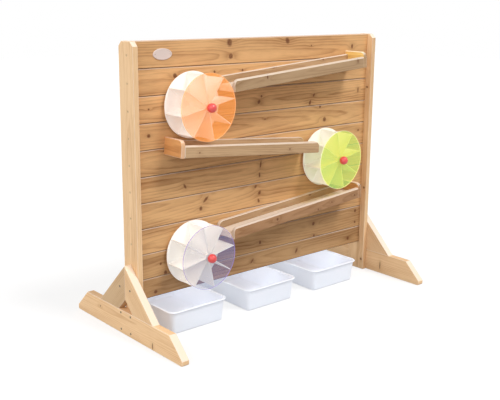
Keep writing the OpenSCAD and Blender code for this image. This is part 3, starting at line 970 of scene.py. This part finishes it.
class BOARD_OT_frame(bpy.types.Operator):
    """Builds the posts, feet, braces and battens"""

    bl_idname = "board.frame"
    bl_label = "Posts, Feet and Braces"

    def execute(self, context):
        sizes = context.scene.board_timber
        screws = [head for node in ("post_screws", "foot_screws", "batten_screws")
                  for head in screw_heads(node)]
        for side in SIDES:
            post, foot, batten = side + "_post", side + "_foot", side + "_batten"
            self.upright(sizes, post, self.post_outline(sizes, post), screws, Z, Y)
            self.upright(sizes, foot, self.foot_outline(sizes, foot), screws, Y, Z)
            foot_height = corners(foot)[1].z
            for end, way in (("front", -1), ("rear", 1)):
                brace = "%s_%s_brace" % (side, end)
                self.upright(sizes, brace, self.brace_outline(brace, foot_height, way), screws,
                             Vector((0, -way, 1)).normalized(), Vector((0, 1, way)).normalized())
            low, high, _ = corners(batten)
            self.make(sizes, batten, rectangle(low.x, high.x, low.z, high.z), screws, (Z, X, Y), X)
        return {"FINISHED"}

    def upright(self, sizes, node, outline, screws, grain, across):
        """Makes a board that faces the side, with its upward slopes painted pale: a painted
        highlight where light from above falls, partly the pale sawn cut.
        """
        piece = self.make(sizes, node, outline, screws, (grain, across, X), Y)
        fainter(piece, share_left=0.35)
        # Painted highlight on the slopes that look up, where light from above falls
        paled_by_wear_or_light(piece, Z, amount=1.0, least=0.3, most=0.95)

    def make(self, sizes, node, outline, screws, axes, right):
        """Makes a board with its screw holes; axes are as for timber."""
        low, high, middle = corners(node)
        deep = axes[2]
        piece = board(node + "_timber", outline, deep * deep.dot(low), right, Z, deep,
                      deep.dot(high) - deep.dot(low), sizes.ease)
        sink(piece, node, screws, sizes)
        return fit(piece, node, "stand", self.finish(sizes, node, axes, middle))

    def finish(self, sizes, node, axes, middle):
        grain, across, deep = axes
        chance = random.Random(node)
        lean = either_side(chance, FRAME_LEAN)
        away = either_way(chance, FRAME_DEPTH)
        pith = (across.dot(middle) + either_side(chance, FRAME_ACROSS),
                deep.dot(middle) + away + lean * grain.dot(middle))
        tone = chance.uniform(*CHANCE_TONE) * BOARD_TONES.get(node, 1.0)
        return timber(node, sizes, axes, (sizes.frame_pale, sizes.frame_dark), sizes.frame_ring,
                      pith, lean, knots_of(node, axes), tone)

    def post_outline(self, sizes, node):
        low, high, _ = corners(node)
        cut = sizes.post_chamfer
        return [Vector(p) for p in (
            (low.y, low.z), (high.y, low.z), (high.y, high.z - cut),
            (high.y - cut, high.z), (low.y + cut, high.z), (low.y, high.z - cut))]

    def foot_outline(self, sizes, node):
        low, high, _ = corners(node)
        cut, nose, bend = sizes.foot_cut, sizes.foot_nose, sizes.nose_round
        points = ((low.y, low.z), (high.y, low.z), (high.y, low.z + nose),
                  (high.y - cut, high.z), (low.y + cut, high.z), (low.y, low.z + nose))
        return fillet(points, (bend, bend, bend, 0, 0, bend))

    def brace_outline(self, node, foot_height, way):
        low, high, _ = corners(node)
        reach = max(abs(low.y), abs(high.y))
        gap = reach - foot_height * math.sqrt(2)
        points = [Vector(p) for p in ((0, foot_height + gap), (way * gap, foot_height),
                                      (way * reach, foot_height), (0, high.z))]
        return points if way > 0 else list(reversed(points))


class BOARD_OT_chutes(bpy.types.Operator):
    """Builds the three sloping chutes, each from two walls, a floor and an end"""

    bl_idname = "board.chutes"
    bl_label = "Chutes"

    def execute(self, context):
        sizes = context.scene.board_timber
        for which in WHEELS:
            name = which + "_chute"
            along = slope_of(name + "_floor")
            up = Vector((-along.z, 0, along.x))
            low_way = -along if along.z > 0 else along
            self.wall(sizes, name + "_back", along, up, low_way)
            front = self.wall(sizes, name + "_front", along, up, low_way, with_bevel=True)
            self.floor(sizes, name + "_floor", along, up, low_way)
            self.end(sizes, name + "_end", along, up, front.data.materials[0])
        return {"FINISHED"}

    def finish(self, sizes, node, axes, reach, tones):
        chance = random.Random(node)
        # Tint of a board; on the top chute's end it is painted yellow light
        cast = BOARD_TINTS_AND_PAINTED_LIGHT.get(node, (1, 1, 1))
        tones = [[part * factor for part, factor in zip(tone, cast)] for tone in tones]
        pith = (sum(reach[1]) / 2 + either_side(chance, CHUTE_ACROSS),
                sum(reach[2]) / 2 + either_way(chance, CHUTE_DEPTH))
        lean = either_side(chance, CHUTE_LEAN)
        tone = chance.uniform(*CHANCE_TONE) * BOARD_TONES.get(node, 1.0)
        return timber(node, sizes, axes, tones, sizes.frame_ring, pith, lean,
                      knots_of(node, axes), tone)

    def set_in(self, piece, sizes, node, axes, reach, tones=None):
        """Gives a board its wood and its place."""
        tones = tones or (sizes.chute_pale, sizes.chute_dark)
        return fit(piece, node, "stand",
                   self.finish(sizes, node, axes, reach, tones))

    def wall(self, sizes, node, along, up, low_way, with_bevel=False):
        axes = (along, up, Y)
        reach = spans(node, axes)
        (left, right), (low, high), (front, back) = reach
        bend = sizes.chute_low_round
        radii = (0, 0, bend, 0) if low_way == along else (0, 0, 0, bend)
        outline = fillet(rectangle(left, right, low, high), radii)
        piece = board(node + "_timber", outline, Y * front, along, up, Y, back - front, sizes.ease)
        if with_bevel:
            bevelled(piece, Y * front + up * (high - sizes.chute_bevel), up - Y)
        # Pale marks: the low end partly end grain, partly painted highlight; the top a painted
        # highlight where light from above falls; none on faces that look down, which lie in shade
        unpaled(piece, low_way, least=0.2)
        paled_by_wear_or_light(piece, low_way, amount=0.55, least=0.2)
        paled_by_wear_or_light(piece, up, amount=0.8)
        unpaled(piece, -up, least=0.1)
        return self.set_in(piece, sizes, node, axes, reach)

    def floor(self, sizes, node, along, up, low_way):
        axes = (along, Y, up)
        reach = spans(node, axes)
        (left, right), (front, back), (low, high) = reach
        piece = board(node + "_timber", rectangle(left, right, front, back), up * low,
                      along, Y, up, high - low, sizes.ease / 4)
        # The floor's top is painted pale as a painted highlight where light falls, and its low end
        # is pale, partly end grain, partly painted highlight
        paled_by_wear_or_light(piece, up, amount=1.0)
        paled_by_wear_or_light(piece, low_way, amount=1.0)
        self.set_in(piece, sizes, node, axes, reach)

    def end(self, sizes, node, along, up, wall_wood):
        """Closes the high end. Where the chute rises to the right, the front edge of this
        board takes the wood of the wall beside it; otherwise it keeps its own, with faint
        edges."""
        axes = (Y, up, along)
        reach = spans(node, axes)
        (front, back), (low, high), (left, right) = reach
        outline = fillet(rectangle(front, back, low, high), (0, 0, 0, sizes.chute_end_round))
        piece = board(node + "_timber", outline, along * left, Y, up, along, right - left,
                      sizes.ease)
        rises_right = along.z > 0
        # Pale marks on this board: wear on its eased edges, and a painted highlight on its front
        # and its top where light falls
        if rises_right:
            unpaled(piece, (-Y - along).normalized(), least=0.8)
        else:
            fainter(piece, share_left=0.5)
            paled_by_wear_or_light(piece, -Y, amount=0.35)
        paled_by_wear_or_light(piece, up, amount=0.8)
        # Wood warmed by painted orange light
        self.set_in(piece, sizes, node, axes, reach, (sizes.end_pale, sizes.end_dark))
        if rises_right:
            coat_some(piece, wall_wood, lambda face: face.normal.dot(-Y) > FACING)


class BOARD_OT_wheels(bpy.types.Operator):
    """Builds the paddle wheels, each with a back disc, paddles, a hub and a tinted disc"""

    bl_idname = "board.wheels"
    bl_label = "Paddle Wheels"

    def execute(self, context):
        looks = context.scene.board_wheels
        for which, tint in zip(WHEELS, DISCS):
            wheel = which + "_wheel"
            film, light, edge, cast, hides, glow = values_of(looks, tint, DISC_LOOKS)
            # The white plastic has a painted glow, tinted by the disc in front of it
            white = moulded(which + "_white_plastic", looks.white, roughness=0.42,
                            glow=looks.white_painted_glow, painted_glow_tint=cast)
            low, high, centre = corners(wheel + "_hub")
            radius = (high.x - low.x) / 2
            bore = min(off_axle(p, centre) for p in points_of(wheel + "_hub"))
            self.disc(looks, wheel + "_back", centre, bore, wheel, "white_plastic", white)
            window = self.disc(looks, wheel + "_window", centre, bore, wheel, tint + "_window",
                               tinted(tint + "_window", film, light, hides, glow))
            self.edge(looks, window, centre,
                      tinted(tint + "_edge", edge, light, looks.edge_hides, glow))
            self.paddles(looks, wheel, centre, radius, white)
            self.hub(looks, wheel, centre, bore, radius, white)
        return {"FINISHED"}

    def disc(self, looks, node, centre, bore, body, slot, material):
        low, high, _ = corners(node)
        radius = max(high.x - low.x, high.z - low.z) / 2
        profile = rounded_ring(bore, radius, low.y, high.y, looks.rim_round)
        return fit(turned(node + "_disc", profile, centre, DISC_SIDES), node, body, material)

    def edge(self, looks, window, centre, material):
        """Gives the cut edge of a tinted disc its stronger colour."""
        radius = max(off_axle(vertex.co, centre) for vertex in window.data.vertices)
        start = radius - looks.rim_round
        coat_some(window, material, lambda face: off_axle(face.center, centre) > start)

    def hub(self, looks, body, centre, bore, radius, material):
        node = body + "_hub"
        low, high, _ = corners(node)
        profile = rounded_ring(bore, radius, low.y, high.y, looks.hub_round)
        fit(turned(node + "_sleeve", profile, centre), node, body, material)

    def paddles(self, looks, body, centre, hub_radius, material):
        node = body + "_paddles"
        low, high, _ = corners(node)
        reach = max(off_axle(p, centre) for p in points_of(node))
        outline = rectangle(hub_radius - looks.paddle_root, reach, low.y, high.y)
        made = []
        for k in range(PADDLES):
            turn = looks.paddle_turn + 2 * math.pi * k / PADDLES
            out = Vector((math.cos(turn), 0, math.sin(turn)))
            face = Vector((-math.sin(turn), 0, math.cos(turn)))
            start = Vector((centre.x, 0, centre.z)) - face * looks.paddle_thick / 2
            made.append(board("%s_%d" % (node, k), outline, start, out, Y, face,
                              looks.paddle_thick, looks.paddle_ease, steps=2))
        fit(joined(node + "_plates", made), node, body, material)


class BOARD_OT_axles(bpy.types.Operator):
    """Builds the red knobs and finishes the bolts, washers, nuts, screws and pins"""

    bl_idname = "board.axles"
    bl_label = "Axles and Screws"

    def execute(self, context):
        looks = context.scene.board_wheels
        steel = plated("steel", looks.steel)
        for node in ("axle_bolts", "axle_washers", "axle_nuts", "foot_screws", "batten_screws",
                     "chute_screws", "plate_pins"):
            coat(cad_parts[node], steel)
        coat(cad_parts["post_screws"], plated("yellow_zinc", looks.zinc))
        knobs = [self.knob(looks, points) for points in solids_of("axle_knobs")]
        red = moulded("red_plastic", looks.red, roughness=0.28, gloss=0.3, specular=0.5)
        fit(joined("axle_balls", knobs, SOFT_CREASE), "axle_knobs", "stand", red)
        return {"FINISHED"}

    def knob(self, looks, points):
        """A ball with a flat back, bored for the end of its bolt."""
        low, high = ends(points)
        centre = (low + high) / 2
        radius = (high.x - low.x) / 2
        ball_y = low.y + radius
        start = math.asin((high.y - ball_y) / radius)
        sweep = start + math.pi / 2 - KNOB_TIP
        bore = min(off_axle(p, centre) for p in points if abs(p.y - high.y) < NEAR)
        profile = [(bore, low.y + looks.knob_wall), (bore, high.y),
                   (radius * math.cos(start) - looks.knob_ease, high.y)]
        profile += [(radius * cosine, ball_y + radius * sine)
                    for sine, cosine in arc(start, -sweep, KNOB_STEPS)]
        return turned("knob", profile, centre, sharp=SOFT_CREASE, loop=False)


class BOARD_OT_trays(bpy.types.Operator):
    """Builds the three moulded water trays with rolled rims"""

    bl_idname = "board.trays"
    bl_label = "Water Trays"

    def execute(self, context):
        sizes = context.scene.board_trays
        # The trays' plastic has a painted glow
        plastic = moulded("tray_plastic", sizes.plastic, roughness=0.4, grain=700.0,
                          glow=sizes.glow)
        for which in TRAYS:
            node = which + "_tray"
            low, high, middle = corners(node)
            half = (high - low) / 2
            out = sizes.rim + sizes.taper
            rings = [self.ring(sizes, middle, half.x - out, half.y - out, grow, low.z + z)
                     for grow, z in self.levels(sizes, high.z - low.z)]
            fit(skin(node + "_tub", rings, sharp=SOFT_CREASE), node, which + "_tub",
                plastic)
        return {"FINISHED"}

    def levels(self, sizes, height):
        """A tray's section, from the base up its outside, over the rim and down its inside:
        how far each level stands out from the base, and its height."""
        wall, bend, soft, lip = sizes.wall, sizes.base_round, sizes.floor_round, sizes.lip_round
        under = height - sizes.rim_height
        bead = sizes.rim_height / 2
        edge = sizes.taper + sizes.rim - bead
        inner = sizes.taper - wall

        def side(z, back=0.0):
            return sizes.taper * z / under - back, z

        levels = [side(bend * (1 - cosine), bend * (1 - sine)) for sine, cosine in quarter(4)]
        levels += [side(bend * BASE_KEEP), side(under - RIM_KEEP), side(under)]
        levels += [(edge + bead * cosine, under + bead + bead * sine)
                   for sine, cosine in arc(-math.pi / 2, math.pi, BEAD_STEPS)]
        levels += [(inner + lip * (1 - sine), height - lip * (1 - cosine))
                   for sine, cosine in quarter(3)]
        levels.append(side(wall + soft * FLOOR_KEEP, wall))
        levels += [side(wall + soft * (1 - cosine), wall + soft * (1 - sine))
                   for sine, cosine in reversed(quarter(4))]
        return levels

    def ring(self, sizes, middle, half_x, half_y, grow, z):
        bend = max(sizes.corner + grow, sizes.least_corner)
        wide, deep = half_x + grow, half_y + grow
        points = fillet(rectangle(-wide, wide, -deep, deep), (bend,) * 4)
        return [Vector((middle.x + p.x, middle.y + p.y, z)) for p in points]


class BOARD_OT_plate(bpy.types.Operator):
    """Builds the blank oval plate with a rounded rim"""

    bl_idname = "board.plate"
    bl_label = "Oval Plate"

    def execute(self, context):
        sizes = context.scene.board_plate
        node = "oval_plate"
        low, high, middle = corners(node)
        half = (high - low) / 2
        bend = (high.y - low.y) * sizes.rounding
        rim = bend + sizes.rim
        levels = [(0.0, high.y)]
        levels += [(bend * (1 - cosine), low.y + bend * (1 - sine)) for sine, cosine in quarter(4)]
        levels += [(rim, low.y), (rim + sizes.step, low.y + sizes.step)]
        rings = [oval(middle, half.x - cut, half.z - cut, y, PLATE_SIDES) for cut, y in levels]
        piece = skin(node + "_blank", rings, sharp=PLATE_CREASE)
        fit(piece, node, "stand", moulded("plate", sizes.enamel, roughness=0.3, gloss=0.4))
        return {"FINISHED"}


class BOARD_OT_stage(bpy.types.Operator):
    """Sets the camera, the lamps, the even light and the pale floor"""

    bl_idname = "board.stage"
    bl_label = "Stage"

    def execute(self, context):
        scene = context.scene
        looks = scene.board_stage
        scene.view_settings.view_transform = "Standard"
        self.camera(scene, looks)
        for lamp in LAMPS:
            self.lamp(scene, lamp + "_lamp", *values_of(looks, lamp, LAMP_LOOKS))
        self.sky(scene, looks)
        self.ground(looks)
        return {"FINISHED"}

    def camera(self, scene, looks):
        data = bpy.data.cameras.new("camera")
        data.lens = looks.lens
        data.sensor_width = looks.sensor
        data.sensor_fit = "HORIZONTAL"
        camera = bpy.data.objects.new("camera", data)
        turn = (Matrix.Rotation(looks.heading, 4, "Z")
                @ Matrix.Rotation(math.pi / 2 - looks.dip, 4, "X")
                @ Matrix.Rotation(looks.roll, 4, "Z"))
        camera.matrix_world = Matrix.Translation(Vector(looks.camera_place)) @ turn
        scene.collection.objects.link(camera)
        scene.camera = camera

    def lamp(self, scene, name, strength, way, spread):
        data = bpy.data.lights.new(name, "SUN")
        data.energy = strength
        data.angle = spread
        lamp = bpy.data.objects.new(name, data)
        lamp.rotation_euler = Vector(way).to_track_quat("Z", "Y").to_euler()
        scene.collection.objects.link(lamp)

    def sky(self, scene, looks):
        """Even light, which looks white where it is seen."""
        paint = Paint(bpy.data.worlds.new("even_light"))
        light, white = (
            paint.node("ShaderNodeBackground", None, {"Color": (1, 1, 1), "Strength": strength})
            for strength in (looks.sky, 1.0))
        scene.world = paint.show(paint.blend(light, white, paint.seen()), "ShaderNodeOutputWorld")

    def ground(self, looks):
        mesh = bmesh.new()
        bmesh.ops.create_grid(mesh, x_segments=8, y_segments=8, size=looks.floor_reach)
        floor = placed("floor", mesh)
        paint = Paint(bpy.data.materials.new("pale_floor"))
        cloud = paint.noise(paint.place(), scale=0.8)
        body = paint.surface({
            "Base Color": paint.mix(looks.floor, toned(looks.floor, 0.985), cloud),
            "Roughness": 0.9,
            "Specular IOR Level": 0.0,
        })
        glow = paint.node("ShaderNodeEmission", None,
                          {"Color": (1, 1, 1), "Strength": looks.floor_glow})
        lit = paint.node("ShaderNodeAddShader", None, {0: body, 1: glow})
        coat(floor, paint.show(paint.blend(body, lit, paint.seen())))


OPERATORS = (
    BOARD_OT_planks, BOARD_OT_frame, BOARD_OT_chutes, BOARD_OT_wheels, BOARD_OT_axles,
    BOARD_OT_trays, BOARD_OT_plate, BOARD_OT_stage,
)


class BOARD_PT_sidebar(bpy.types.Panel):
    """Lists the operators and the settings of the water play board"""

    bl_label = "Water Board"
    bl_idname = "BOARD_PT_sidebar"
    bl_space_type = "VIEW_3D"
    bl_region_type = "UI"
    bl_category = "Water Board"

    def draw(self, context):
        for operator in OPERATORS:
            self.layout.operator(operator.bl_idname)
        for attribute, group in GROUPS.items():
            box = self.layout.box()
            settings = getattr(context.scene, attribute)
            for key in group.__annotations__:
                box.prop(settings, key)


CLASSES = (*GROUPS.values(), *OPERATORS, BOARD_PT_sidebar)


def register():
    for item in CLASSES:
        bpy.utils.register_class(item)
    for attribute, group in GROUPS.items():
        setattr(bpy.types.Scene, attribute, bpy.props.PointerProperty(type=group))


def unregister():
    for attribute in GROUPS:
        delattr(bpy.types.Scene, attribute)
    for item in reversed(CLASSES):
        bpy.utils.unregister_class(item)


def main():
    register()
    for operator in (bpy.ops.board.planks, bpy.ops.board.frame, bpy.ops.board.chutes,
                     bpy.ops.board.wheels, bpy.ops.board.axles, bpy.ops.board.trays,
                     bpy.ops.board.plate, bpy.ops.board.stage):
        operator()


if __name__ == "__main__":
    main()
